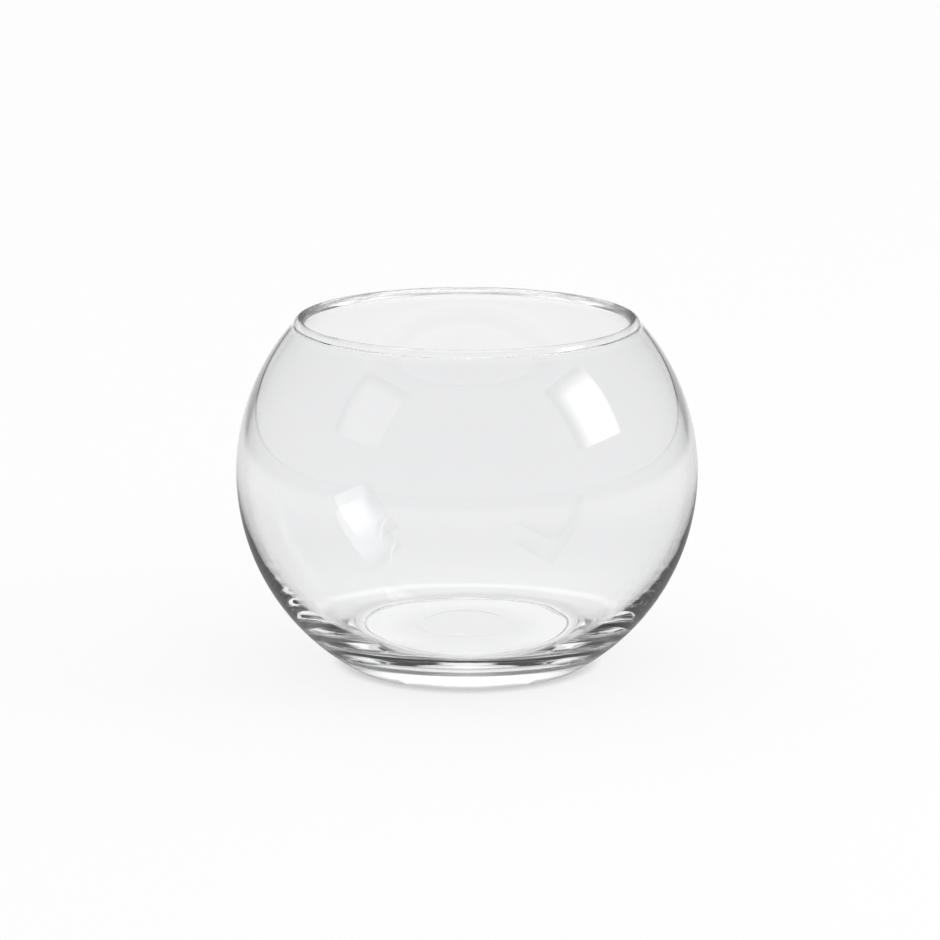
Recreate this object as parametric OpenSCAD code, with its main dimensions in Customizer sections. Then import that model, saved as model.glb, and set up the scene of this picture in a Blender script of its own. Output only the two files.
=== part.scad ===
// Rose bowl vase: one piece of clear glass, round all about the Z axis.
// The origin is the centre of the foot, on the surface that the bowl stands on, and +Z is up.
// Every shape below is half of a section through the axis, with x as the radius, turned once round.

/* [Body] */
// Outer diameter at the belly, the widest place
bowl_d = 152; // [130:1:190]
// Overall height, from the foot to the top of the rim
bowl_h = 115.4; // [105:0.1:125]
// How far out from the axis the round side has its centre, which flattens the ball a little
side_x = 2.3; // [0:0.1:5]

/* [Rim] */
// How far the fire polished bead at the mouth stands out from the wall on each of its sides
bead_out = 0.45; // [0.2:0.05:1]
// Radius of the hollow rounding under the bead on the outside; the inner one's follows from it
neck_r = 0.6; // [0.2:0.1:1.5]

/* [Wall] */
// Thickness of the wall from the belly up to the rim
wall_t = 2.5; // [1.6:0.1:3.5]
// How far out from the axis the inside has its centre below the belly, which thickens the wall there
lower_x = 9.9; // [6:0.1:13]

/* [Floor] */
// Height of the inside floor over the surface that the bowl stands on
floor_z = 10; // [6:0.5:14]
// Radius of the round corner between the inside floor and the wall
corner_r = 24; // [12:0.5:34]

/* [Foot] */
// Diameter at which the round side would reach the table if the heel were sharp
foot_d = 78; // [64:1:90]
// Radius of the heel, where the side turns under into the bearing ring
heel_r = 2; // [0.5:0.1:3]
// How far inside that diameter the recess under the base begins, which sets the bearing ring's width
ring_w = 4; // [3:0.5:10]
// Depth of that recess, whose edge and root are both rounded by half of it
recess_depth = 1.2; // [0.6:0.1:3]

/* [Hidden] */

$fn = 240;

// Radius of the round side, and the height of the belly, where its centre lies
side_r = bowl_d / 2 - side_x;
belly_z = sqrt(pow(side_r, 2) - pow(foot_d / 2 - side_x, 2));

// Centre of the heel's arc, which touches both the side and the table
heel_x = side_x + sqrt(pow(side_r - heel_r, 2) - pow(belly_z - heel_r, 2));
heel_angle = atan2(heel_r - belly_z, heel_x - side_x);

// The bead is centred in the wall's thickness
bead_r = wall_t / 2 + bead_out;
bead_z = bowl_h - bead_r;
bead_x = side_x + sqrt(pow(side_r - wall_t / 2, 2) - pow(bead_z - belly_z, 2));
rim_angle = atan2(bead_z - belly_z, bead_x - side_x);

// The hollow roundings on both sides of the bead begin at one bearing from the side's centre
bead_far = side_r - wall_t / 2;
neck_far = side_r + neck_r;
neck_turn = acos(
    (pow(neck_far, 2) + pow(bead_far, 2) - pow(bead_r + neck_r, 2)) / (2 * neck_far * bead_far)
);
neck_angle = rim_angle - neck_turn;
neck_way = [cos(neck_angle), sin(neck_angle)];

// The inner one's radius follows from touching the wall's inner face there, and the bead
face_r = side_r - wall_t;
bead_along = bead_far * cos(neck_turn);
inner_neck_r = (pow(face_r, 2) + pow(bead_far, 2) - 2 * face_r * bead_along - pow(bead_r, 2))
    / (2 * (bead_r + face_r - bead_along));
outer_neck = [side_x, belly_z] + neck_far * neck_way;
inner_neck = [side_x, belly_z] + (face_r - inner_neck_r) * neck_way;

// The inside below the belly meets the inside above it at the belly, both of them upright there
lower_r = bowl_d / 2 - wall_t - lower_x;
corner_z = floor_z + corner_r;
corner_x = lower_x + sqrt(pow(lower_r - corner_r, 2) - pow(belly_z - corner_z, 2));
corner_angle = atan2(corner_z - belly_z, corner_x - lower_x);

// The recess
recess_r = foot_d / 2 - ring_w;
recess_edge_r = recess_depth / 2;

// How far a cut runs past the face that it opens through
past = 1;

// A slice of a disc about a centre, between two angles up to 180 degrees apart
module slice(centre, r, from, to) {
    function out(angle) = centre + 2 * r * [cos(angle), sin(angle)];
    intersection() {
        translate(centre) circle(r = r);
        polygon([centre, out(from), out((from + to) / 2), out(to)]);
    }
}

// All that the side, the heel and the foot enclose, up to where the wall swells into the bead
module outside() {
    polygon([[0, 0], [heel_x, 0], [heel_x, heel_r], [side_x, belly_z], [0, belly_z]]);
    slice([heel_x, heel_r], heel_r, -90, heel_angle);
    slice([side_x, belly_z], side_r, heel_angle, neck_angle);
}

// The space inside the bowl, up past the rim
module inside() {
    polygon([
        [0, floor_z], [corner_x, floor_z], [corner_x, corner_z], [lower_x, belly_z], [0, belly_z],
    ]);
    slice([corner_x, corner_z], corner_r, -90, corner_angle);
    slice([lower_x, belly_z], lower_r, corner_angle, 0);
    intersection() {
        translate([side_x, belly_z]) circle(r = side_r - wall_t);
        translate([0, belly_z]) square([bowl_d / 2, bowl_h - belly_z + past]);
    }
}

// The shallow recess under the base, with a rounded edge and a rounded root
module recess() {
    root_x = recess_r - recess_edge_r;
    edge_x = recess_r + recess_edge_r;
    translate([0, -past]) square([root_x, recess_depth + past]);
    translate([0, -past]) square([recess_r, recess_edge_r + past]);
    slice([root_x, recess_edge_r], recess_edge_r, 0, 90);
    difference() {
        translate([0, -past]) square([edge_x, recess_edge_r + past]);
        translate([edge_x, recess_edge_r]) circle(r = recess_edge_r);
    }
}

// The bead, and the glass between it and the wall, from a point well inside the wall
module rim() {
    bead = [bead_x, bead_z];
    below = [side_x, belly_z] + bead_far * [cos(neck_angle - neck_turn), sin(neck_angle - neck_turn)];
    translate(bead) circle(r = bead_r);
    difference() {
        polygon([
            below, [side_x, belly_z] + side_r * neck_way, outer_neck, bead,
            inner_neck, [side_x, belly_z] + face_r * neck_way,
        ]);
        translate(outer_neck) circle(r = neck_r);
        translate(inner_neck) circle(r = inner_neck_r);
    }
}

module glass_bowl() {
    color([0.86, 0.89, 0.89, 0.4])
        rotate_extrude() {
            difference() {
                outside();
                inside();
                recess();
            }
            rim();
        }
}

glass_bowl();
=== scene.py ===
from math import acos, atan2, cos, degrees, pi, radians, sin, sqrt

import bmesh
import bpy
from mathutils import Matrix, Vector, noise


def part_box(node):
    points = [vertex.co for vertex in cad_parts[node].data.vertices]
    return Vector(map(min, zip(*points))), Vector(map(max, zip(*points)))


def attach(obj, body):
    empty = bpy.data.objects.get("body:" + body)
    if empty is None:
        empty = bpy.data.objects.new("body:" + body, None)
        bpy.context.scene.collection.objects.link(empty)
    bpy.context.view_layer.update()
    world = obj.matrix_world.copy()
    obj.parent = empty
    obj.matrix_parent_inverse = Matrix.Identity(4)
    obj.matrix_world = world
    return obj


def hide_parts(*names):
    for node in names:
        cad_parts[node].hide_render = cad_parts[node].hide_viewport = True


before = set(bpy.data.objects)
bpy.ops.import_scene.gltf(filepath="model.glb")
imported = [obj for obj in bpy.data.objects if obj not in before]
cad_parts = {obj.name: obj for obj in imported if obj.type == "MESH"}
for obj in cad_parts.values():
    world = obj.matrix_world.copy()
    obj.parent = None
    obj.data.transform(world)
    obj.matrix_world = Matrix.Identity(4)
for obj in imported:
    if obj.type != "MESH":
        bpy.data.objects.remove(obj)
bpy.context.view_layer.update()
scene = bpy.context.scene
scene.view_settings.view_transform = "Standard"
LIGHT_BOUNCES = 64
scene.cycles.max_bounces = LIGHT_BOUNCES
scene.cycles.transmission_bounces = LIGHT_BOUNCES
scene.cycles.glossy_bounces = LIGHT_BOUNCES


# The camera stands where the photograph was taken from, about 1.5 m away and a little above the
# bowl. Its lens is long and is shifted only as far as the framing needs.
CAMERA_DISTANCE = 1.48
CAMERA_HEIGHT_ANGLE = radians(13.0)
AIM_HEIGHT = 0.057
IMAGE_SIZE = 940
AIM_X, AIM_Y = 467.0, 491.4  # where the aim falls in the photograph, in its pixels
FOCAL_PIXELS = 4484.0
SENSOR_WIDTH = 36.0

lens = bpy.data.cameras.new("camera")
lens.sensor_width = SENSOR_WIDTH
lens.lens = FOCAL_PIXELS * lens.sensor_width / IMAGE_SIZE
lens.shift_x = (IMAGE_SIZE / 2 - AIM_X) / IMAGE_SIZE
lens.shift_y = (AIM_Y - IMAGE_SIZE / 2) / IMAGE_SIZE
camera = bpy.data.objects.new("camera", lens)
camera.location = (
    0.0,
    -CAMERA_DISTANCE * cos(CAMERA_HEIGHT_ANGLE),
    AIM_HEIGHT + CAMERA_DISTANCE * sin(CAMERA_HEIGHT_ANGLE),
)
camera.rotation_euler = (pi / 2 - CAMERA_HEIGHT_ANGLE, 0.0, 0.0)
scene.collection.objects.link(camera)
scene.camera = camera


# The bowl is one piece of clear soda-lime glass, blown round in a mould, with a thick base,
# a recess pressed under it and a fire polished bead at the mouth. Its section is drawn once, arc
# by arc, and turned once round the axis.
MM = 0.001
low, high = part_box("glass_bowl")
bowl_d = high[1] - low[1]
bowl_h = high[2]
side_x = 2.3 * MM
wall_t = 2.5 * MM
lower_x = 9.9 * MM
foot_d = 78.0 * MM
heel_r = 2.0 * MM
bead_out = 0.45 * MM
neck_r = 0.6 * MM
floor_z = 10.0 * MM
corner_r = 24.0 * MM
ring_w = 4.0 * MM
recess_depth = 1.2 * MM

# A faint ring mark under the base: its radius, the width of each of its slopes, and its height
mark_x = 16.0 * MM
MARK_WIDTH, MARK_HEIGHT = 0.9 * MM, 0.03 * MM

# How finely the section is drawn: degrees for each step of an arc, and the steps of each stretch
RECESS_ARC, HEEL_ARC, SIDE_ARC, RIM_ARC, LOWER_ARC, CORNER_ARC = 15.0, 6.0, 1.4, 12.0, 1.0, 2.0
BASE_STEPS, MARK_STEPS, RING_STEPS, FLOOR_STEPS = 6, 3, 2, 16
LEAST_ARC_STEPS = 2
TURNS = 288
MERGE_DISTANCE = 0.001 * MM

# The waves of the lower inside wall: their depth, length and height, the height over which they
# grow from the floor, that over which they fade, where they end, and how far off the floor they stay
WAVE_DEPTH, WAVE_LENGTH, WAVE_HEIGHT = 0.045 * MM, 22.0 * MM, 6.0 * MM
WAVES_IN, WAVES_OUT, WAVES_END = 6.0 * MM, 18.0 * MM, 52.0 * MM
WAVE_CLEARANCE = 0.01 * MM

side_r = bowl_d / 2 - side_x
belly_z = sqrt(side_r ** 2 - (foot_d / 2 - side_x) ** 2)
side_c = Vector((side_x, belly_z))
bead_r = wall_t / 2 + bead_out
recess_r = foot_d / 2 - ring_w
recess_edge_r = recess_depth / 2
heel_c = Vector((side_x + sqrt((side_r - heel_r) ** 2 - (belly_z - heel_r) ** 2), heel_r))
bead_z = bowl_h - bead_r
bead_c = Vector((side_x + sqrt((side_r - wall_t / 2) ** 2 - (bead_z - belly_z) ** 2), bead_z))
lower_r = bowl_d / 2 - wall_t - lower_x
lower_c = Vector((lower_x, belly_z))
corner_z = floor_z + corner_r
corner_c = Vector((lower_x + sqrt((lower_r - corner_r) ** 2 - (belly_z - corner_z) ** 2), corner_z))
root_c = Vector((recess_r - recess_edge_r, recess_edge_r))
edge_c = Vector((recess_r + recess_edge_r, recess_edge_r))


def bearing(start, end):
    """The angle of the way from one point of the section to another, in degrees."""
    return degrees(atan2(end[1] - start[1], end[0] - start[0]))


# Both hollow roundings under the bead begin at one bearing, and the inner one's radius follows.
bead_far = side_r - wall_t / 2
neck_far = side_r + neck_r
neck_turn = acos(
    (neck_far ** 2 + bead_far ** 2 - (bead_r + neck_r) ** 2) / (2 * neck_far * bead_far)
)
neck_angle = bearing(side_c, bead_c) - degrees(neck_turn)
neck_way = Vector((cos(radians(neck_angle)), sin(radians(neck_angle))))
face_r = side_r - wall_t
bead_along = bead_far * cos(neck_turn)
inner_neck_r = (
    (face_r ** 2 + bead_far ** 2 - 2 * face_r * bead_along - bead_r ** 2)
    / (2 * (bead_r + face_r - bead_along))
)
outer_neck = side_c + neck_far * neck_way
inner_neck = side_c + (face_r - inner_neck_r) * neck_way
section = bmesh.new()
pen = section.verts.new((0.0, 0.0, recess_depth))


def straight(x, z, steps):
    """Draws a straight stretch of the section to a point."""
    global pen
    step = (Vector((x, 0.0, z)) - pen.co) / steps
    for _ in range(steps):
        drawn = bmesh.ops.extrude_vert_indiv(section, verts=[pen])
        corner = drawn["verts"][0]
        corner.co = pen.co + step
        pen = corner


def arc(centre, start, end, step):
    """Draws an arc of the section about a centre, from one bearing to another, in degrees."""
    global pen
    steps = max(LEAST_ARC_STEPS, round(abs(end - start) / step))
    drawn = bmesh.ops.spin(
        section, geom=[pen], cent=(centre[0], 0.0, centre[1]), axis=(0.0, -1.0, 0.0),
        angle=radians(end - start), steps=steps, use_duplicate=False, use_merge=False,
    )
    pen = [e for e in drawn["geom_last"] if isinstance(e, bmesh.types.BMVert)][0]


heel_angle = bearing(side_c, heel_c)
corner_angle = bearing(lower_c, corner_c)

# Under the base, from the axis out to the heel
straight(mark_x - MARK_WIDTH, recess_depth, BASE_STEPS)
straight(mark_x, recess_depth - MARK_HEIGHT, MARK_STEPS)
straight(mark_x + MARK_WIDTH, recess_depth, MARK_STEPS)
straight(root_c[0], recess_depth, BASE_STEPS)
arc(root_c, 90, 0, RECESS_ARC)
arc(edge_c, 180, 270, RECESS_ARC)
straight(heel_c[0], 0.0, RING_STEPS)

# Up the outside, over the rim, and down the inside to the middle of the floor
arc(heel_c, -90, heel_angle, HEEL_ARC)
arc(side_c, heel_angle, neck_angle, SIDE_ARC)
arc(outer_neck, neck_angle - 180, bearing(outer_neck, bead_c), RIM_ARC)
arc(bead_c, bearing(bead_c, outer_neck), bearing(bead_c, inner_neck) + 360, RIM_ARC)
arc(inner_neck, bearing(inner_neck, bead_c), neck_angle, RIM_ARC)
arc(side_c, neck_angle, 0, SIDE_ARC)
arc(lower_c, 0, corner_angle, LOWER_ARC)
arc(corner_c, corner_angle, -90, CORNER_ARC)
straight(0.0, floor_z, FLOOR_STEPS)
bmesh.ops.spin(
    section, geom=section.verts[:] + section.edges[:], cent=(0.0, 0.0, 0.0), axis=(0.0, 0.0, 1.0),
    angle=2 * pi, steps=TURNS, use_duplicate=False, use_merge=True,
)
bmesh.ops.remove_doubles(section, verts=section.verts, dist=MERGE_DISTANCE)
bmesh.ops.recalc_face_normals(section, faces=section.faces)

# The inner wall is faintly wavy low down, where the glass is thick and was last to set.
for vert in section.verts:
    out = Vector((vert.co.x, vert.co.y, 0.0))
    spot = Vector((out.length, vert.co.z))
    inside_wall = (spot - side_c).length < side_r - wall_t / 2
    if inside_wall and floor_z + WAVE_CLEARANCE < spot[1] < WAVES_END:
        rise = min(1.0, (spot[1] - floor_z) / WAVES_IN, (WAVES_END - spot[1]) / WAVES_OUT)
        grain = Vector((vert.co.x / WAVE_LENGTH, vert.co.y / WAVE_LENGTH, vert.co.z / WAVE_HEIGHT))
        push = WAVE_DEPTH * rise * noise.noise(grain)
        way = (spot - side_c).normalized()
        vert.co += push * (out.normalized() * way[0] + Vector((0.0, 0.0, way[1])))
for face in section.faces:
    face.smooth = True
glass_mesh = bpy.data.meshes.new("clear_bowl")
section.to_mesh(glass_mesh)
section.free()
clear_bowl = bpy.data.objects.new("clear_bowl", glass_mesh)
scene.collection.objects.link(clear_bowl)


class Wire:
    """A socket's value, which takes part in sums as a number does and adds its Math nodes."""

    def __init__(self, board, socket):
        self.board = board
        self.socket = socket

    def sum(self, operation, *values):
        return self.board.node("Math", {"operation": operation}, dict(enumerate(values)))

    def ease(self, start, end, low, high):
        """Goes smoothly from low to high while this value goes from start to end."""
        return self.board.node("MapRange", {"interpolation_type": "SMOOTHSTEP"}, {
            "Value": self, "From Min": start, "From Max": end, "To Min": low, "To Max": high,
        })

    def above(self, limit):
        """Is 1 where this value is over a limit, and 0 elsewhere."""
        return self.sum("GREATER_THAN", self, limit)

    def up_to_one(self):
        """Is this value, but never more than 1."""
        return self.sum("MINIMUM", self, 1.0)

    def __add__(self, other):
        return self.sum("ADD", self, other)

    def __radd__(self, other):
        return self.sum("ADD", other, self)

    def __sub__(self, other):
        return self.sum("SUBTRACT", self, other)

    def __rsub__(self, other):
        return self.sum("SUBTRACT", other, self)

    def __mul__(self, other):
        return self.sum("MULTIPLY", self, other)

    def __rmul__(self, other):
        return self.sum("MULTIPLY", other, self)


class Board:
    """The nodes of one material or world."""

    def __init__(self, owner):
        owner.use_nodes = True
        self.tree = owner.node_tree
        self.tree.nodes.clear()

    def node(self, kind, settings, values, output=0):
        """Adds a node: its type, its settings, the values or links of its sockets, one output."""
        node = self.tree.nodes.new("ShaderNode" + kind)
        for name, value in settings.items():
            setattr(node, name, value)
        for name, value in values.items():
            if isinstance(value, Wire):
                self.tree.links.new(value.socket, node.inputs[name])
            else:
                node.inputs[name].default_value = value
        return Wire(self, node.outputs[output]) if node.outputs else node


# The grey tint of the body fades out at the rim, between two depths under its top, and partly at the
# foot: this is painted light, which makes the rim and the foot brighter than the rest of the glass.
BLACK = (0.0, 0.0, 0.0, 1.0)
BODY_TINT = (0.956, 0.958, 0.963, 1.0)
PAINTED_BRIGHT_TINT = (0.996, 0.998, 1.0, 1.0)
RIM_DEPTHS = (4.5 * MM, 3.5 * MM)
FOOT_HEIGHTS = (12.0 * MM, 32.0 * MM)
FOOT_PAINTED_BRIGHTENING = 0.35
GLASS_IOR = 1.52
ABSORPTION = 0.5
clear_glass = bpy.data.materials.new("clear_glass")
glass = Board(clear_glass)
place = glass.node("TexCoord", {}, {}, "Object")
height = glass.node("SeparateXYZ", {}, {0: place}, "Z")
at_rim = height.ease(bowl_h - RIM_DEPTHS[0], bowl_h - RIM_DEPTHS[1], 0.0, 1.0)
at_foot = height.ease(*FOOT_HEIGHTS, 1.0, 0.0)
# Painted light: the tint clears towards white at the rim and partly at the foot.
clear = at_rim + FOOT_PAINTED_BRIGHTENING * at_foot
hue = glass.node("Mix", {"data_type": "RGBA"}, {0: clear, 6: BODY_TINT, 7: PAINTED_BRIGHT_TINT}, 2)
surface = glass.node("BsdfPrincipled", {}, {
    "Base Color": hue, "Roughness": 0.0, "IOR": GLASS_IOR, "Transmission Weight": 1.0,
})
tint = glass.node("VolumeAbsorption", {}, {"Color": BLACK, "Density": ABSORPTION})
glass.node("OutputMaterial", {}, {"Surface": surface, "Volume": tint})
clear_bowl.data.materials.append(clear_glass)
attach(clear_bowl, "root")
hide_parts("glass_bowl")


# The table is a plain white sheet that runs on to the horizon, evenly white to the camera with a
# painted soft shade where the bowl touches it. Through the glass it shows a painted ring of light
# that stands in for light gathered by the base, a painted glow under and beside the foot, and a
# faint painted shade further behind the bowl. The glass mirrors it with painted shade near the
# bowl, and guided light meets it at painted levels of its own.
TABLE_SIZE = 12.0
TABLE_DROP = 0.02 * MM
WHITE = (1.0, 1.0, 1.0, 1.0)
TABLE_LIT = 0.22
TABLE_GLOW = 0.785

# Radii between which each zone of painted light or shade on the table grows or fades
MIRRORED_ZONE = (0.13, 0.40)
INSIDE_ZONE = (0.48, 0.80)
BEHIND_ZONE = (0.06, 0.15)
UNDER_ZONE = (35.0 * MM, 38.5 * MM)
BESIDE_ZONE = (42.0 * MM, 110.0 * MM)
TOUCHING_ZONE = (39.0 * MM, 46.0 * MM)
EDGE_ZONE = (18.0 * MM, 30.0 * MM)
RING_BEGINS, RING_ENDS = (51.0 * MM, 56.0 * MM), (58.0 * MM, 63.0 * MM)

# How bright the table is painted as the glass shows it: mirrored, from inside the wall, or guided
# along it, and the painted glow added to it and the painted shade taken from it around the foot
NEAR_MIRRORED, FAR_MIRRORED = 0.31, 0.85
INSIDE, INSIDE_FAR, GUIDED, PIPED = 0.95, 0.22, 0.3, 1.7
BEHIND, UNDER_EDGE_GLOW, PAINTED_RING_GLOW = 0.94, 0.12, 0.14
UNDER_FOOT_GLOW, BESIDE_FOOT_GLOW = 0.09, 0.05
PAINTED_CONTACT_SHADE, CONTACT_SHADE_THROUGH = 0.35, 0.4

# How often light has to be mirrored to count as guided along the wall, and then as piped round it,
# and how many surfaces it can have crossed where the table still takes a painted shade far off
GUIDED_AFTER, PIPED_AFTER = 2.5, 9.5
WALL_CROSSINGS = 2.5


def flat_sheet(name, width, height):
    """Adds a flat sheet, drawn about its middle."""
    sheet = bmesh.new()
    bmesh.ops.create_grid(sheet, x_segments=1, y_segments=1, size=0.5)
    bmesh.ops.scale(sheet, vec=(width, height, 1.0), verts=sheet.verts)
    mesh = bpy.data.meshes.new(name)
    sheet.to_mesh(mesh)
    sheet.free()
    flat = bpy.data.objects.new(name, mesh)
    scene.collection.objects.link(flat)
    return flat


table = flat_sheet("table", TABLE_SIZE, TABLE_SIZE)
table.location.z = -TABLE_DROP
white_table = bpy.data.materials.new("white_table")
paint = Board(white_table)
lighting = paint.node("LightPath", {}, {}, "Is Diffuse Ray")
through = paint.node("LightPath", {}, {}, "Is Transmission Ray")
mirrorings = paint.node("LightPath", {}, {}, "Glossy Depth")
crossings = paint.node("LightPath", {}, {}, "Transmission Depth")
place = paint.node("TexCoord", {}, {}, "Object")
radius = paint.node("VectorMath", {"operation": "LENGTH"}, {0: place}, "Value")
# Zones of painted light and shade on the table, by radius.
far = radius.ease(*MIRRORED_ZONE, 0.0, 1.0)
distant = radius.ease(*INSIDE_ZONE, INSIDE, INSIDE_FAR)
painted_shade_behind = radius.ease(*BEHIND_ZONE, 0.0, 1.0 - BEHIND)
under = radius.ease(*UNDER_ZONE, 1.0, 0.0)
beside = radius.ease(*BESIDE_ZONE, 1.0, 0.0)
# Painted shade where the bowl touches the table.
contact_painted_shade = radius.ease(*TOUCHING_ZONE, PAINTED_CONTACT_SHADE, 0.0)
edge = radius.ease(*EDGE_ZONE, 0.0, UNDER_EDGE_GLOW)
# A painted ring of light on the table, seen through the glass.
ring_in = radius.ease(*RING_BEGINS, 0.0, PAINTED_RING_GLOW)
ring_out = radius.ease(*RING_ENDS, 1.0, 0.0)
entered = crossings.up_to_one()
in_wall = crossings.sum("LESS_THAN", crossings, WALL_CROSSINGS)
once = mirrorings.up_to_one()
guided = mirrorings.above(GUIDED_AFTER)
piped = mirrorings.above(PIPED_AFTER)
# Painted shade and light: the table's level where the glass mirrors it, where light has entered the
# wall, and where it is guided or piped along it.
mirrored = NEAR_MIRRORED + (FAR_MIRRORED - NEAR_MIRRORED) * far
inside = INSIDE + (distant - INSIDE) * in_wall
mirrored = mirrored + (inside - mirrored) * entered
mirrored = mirrored + (GUIDED - mirrored) * guided
mirrored = mirrored + (PIPED - mirrored) * piped
# The painted shade for mirrored light, and for light seen through the glass behind the bowl.
shade = 1.0 - once * (1.0 - mirrored) - (1.0 - once) * through * painted_shade_behind
# Painted light on the table, seen through the glass under and beside the foot and in a ring.
painted_foot_glow = through * (
    BESIDE_FOOT_GLOW * beside + (UNDER_FOOT_GLOW - BESIDE_FOOT_GLOW) * under + edge * under + ring_in * ring_out
)
# The painted contact shade, weaker where the table is seen through the glass.
painted_contact_shade = contact_painted_shade * (1.0 - through * (CONTACT_SHADE_THROUGH + (1.0 - CONTACT_SHADE_THROUGH) * under))
# The table's colour, darkened by the painted shade.
painted_shade_coat = paint.node("Mix", {"data_type": "RGBA"}, {
    0: shade, 6: BLACK, 7: (TABLE_LIT, TABLE_LIT, TABLE_LIT, 1.0),
}, 2)
glow = paint.node("BsdfPrincipled", {}, {
    "Base Color": painted_shade_coat, "Roughness": 1.0, "Specular IOR Level": 0.0, "Emission Color": WHITE,
    "Emission Strength": (1.0 - lighting) * (shade * TABLE_GLOW * (1.0 - painted_contact_shade) + painted_foot_glow),
})
paint.node("OutputMaterial", {}, {"Surface": glow})
table.data.materials.append(white_table)


# The room is a world that is white to the camera and lights the table evenly all round. The glass
# mirrors it dark, darker still aloft, and shows it through nearly white. Light guided along the wall
# meets it bright, and after more turns dark low down and as bright strips higher up.
ROOM_LIGHT = 0.9
ROOM_THROUGH = 0.98
ROOM_MIRRORED, ROOM_MIRRORED_ALOFT = 0.25, 0.08
ALOFT_ZONE = (0.0, 0.55)
ROOM_HORIZON, ROOM_GUIDED = 0.85, 1.5
HORIZON_ZONE = (sin(radians(5.0)), sin(radians(8.5)))
ROOM_TURNED, ROOM_DARK = 0.04, 0.01
ROOM_OVERHEAD, ROOM_PIPED = 1.1, 1.4
OVERHEAD_ZONE = (sin(radians(18.0)), sin(radians(26.0)))
STRIPS = 8.0
ROOM_GAP, ROOM_STRIP = 0.05, 1.2
STRIP_ZONE = (0.0, 0.6)
TURNED_AFTER, FAR_PIPED_AFTER = 4.5, 29.5
room = bpy.data.worlds.new("room")
scene.world = room
air = Board(room)
seen = air.node("LightPath", {}, {}, "Is Camera Ray")
through = air.node("LightPath", {}, {}, "Is Transmission Ray")
mirrorings = air.node("LightPath", {}, {}, "Glossy Depth")
crossings = air.node("LightPath", {}, {}, "Transmission Depth")
from_table = air.node("LightPath", {}, {}, "Diffuse Depth")
direction = air.node("TexCoord", {}, {}, "Generated")
height = air.node("SeparateXYZ", {}, {0: direction}, "Z")
across = air.node("SeparateXYZ", {}, {0: direction}, "X")
along = air.node("SeparateXYZ", {}, {0: direction}, "Y")
bounced = mirrorings.up_to_one()
guided = mirrorings.above(GUIDED_AFTER)
turned = mirrorings.above(TURNED_AFTER)
piped = mirrorings.above(PIPED_AFTER)
far_piped = mirrorings.above(FAR_PIPED_AFTER)
near_table = height.ease(*HORIZON_ZONE, ROOM_HORIZON, ROOM_GUIDED)
low_view = near_table + (ROOM_TURNED - near_table) * turned + (ROOM_DARK - ROOM_TURNED) * piped
round_about = across.sum("ARCTAN2", across, along)
wave = round_about.sum("COSINE", round_about * STRIPS)
strips = wave.ease(*STRIP_ZONE, ROOM_GAP, ROOM_STRIP)
high_view = ROOM_OVERHEAD + (strips - ROOM_OVERHEAD) * turned + (ROOM_PIPED - strips) * far_piped
overhead = height.ease(*OVERHEAD_ZONE, 0.0, 1.0)
guided_view = low_view + (high_view - low_view) * overhead
aloft = height.ease(*ALOFT_ZONE, ROOM_MIRRORED, ROOM_MIRRORED_ALOFT)
outer = bounced * (1.0 - crossings.up_to_one())
straight_view = ROOM_THROUGH + (aloft - ROOM_THROUGH) * outer
glass_view = guided * guided_view + (1.0 - guided) * straight_view
in_glass = (through + bounced).up_to_one()
for_glass = (1.0 - from_table.up_to_one()) * in_glass
level = seen + (1.0 - seen) * (for_glass * glass_view + (1.0 - for_glass) * ROOM_LIGHT)
sky = air.node("Background", {}, {"Color": WHITE, "Strength": level})
air.node("OutputWorld", {}, {"Surface": sky})


# The lamps are two soft sheets of light, one to the right and a weaker one to the left, a little in
# front of the bowl. Each is a plain glowing sheet that fades towards its top and towards its left
# edge, as it faces the bowl, and is weaker for light that is guided along the wall.
LAMP_LOST = 0.6
LAMP_AIM = Vector((0.0, 0.0, 0.06))


def softbox(name, place, width, height, fade, strength):
    """Adds a soft sheet of light aimed at the middle of the bowl."""
    box = flat_sheet(name, width, height)
    box.location = place
    box.rotation_euler = (LAMP_AIM - Vector(place)).to_track_quat("-Z", "Y").to_euler()
    box.visible_camera = False
    shine = bpy.data.materials.new(name)
    board = Board(shine)
    spot = board.node("TexCoord", {}, {}, "Object")
    across = board.node("SeparateXYZ", {}, {0: spot}, "X")
    up = board.node("SeparateXYZ", {}, {0: spot}, "Y")
    side = across.ease(-width / 2, -width / 2 + fade, 0.0, 1.0)
    top = up.ease(height / 2 - fade, height / 2, 1.0, 0.0)
    mirrorings = board.node("LightPath", {}, {}, "Glossy Depth")
    level = strength * side * top * (1.0 - LAMP_LOST * mirrorings.above(GUIDED_AFTER))
    glow = board.node("Emission", {}, {"Color": WHITE, "Strength": level})
    board.node("OutputMaterial", {}, {"Surface": glow})
    box.data.materials.append(shine)


softbox("softbox_right", (0.66, -0.22, 0.50), 0.38, 0.45, 0.16, 3.5)
softbox("softbox_left", (-0.60, -0.35, 0.55), 0.42, 0.44, 0.12, 0.9)
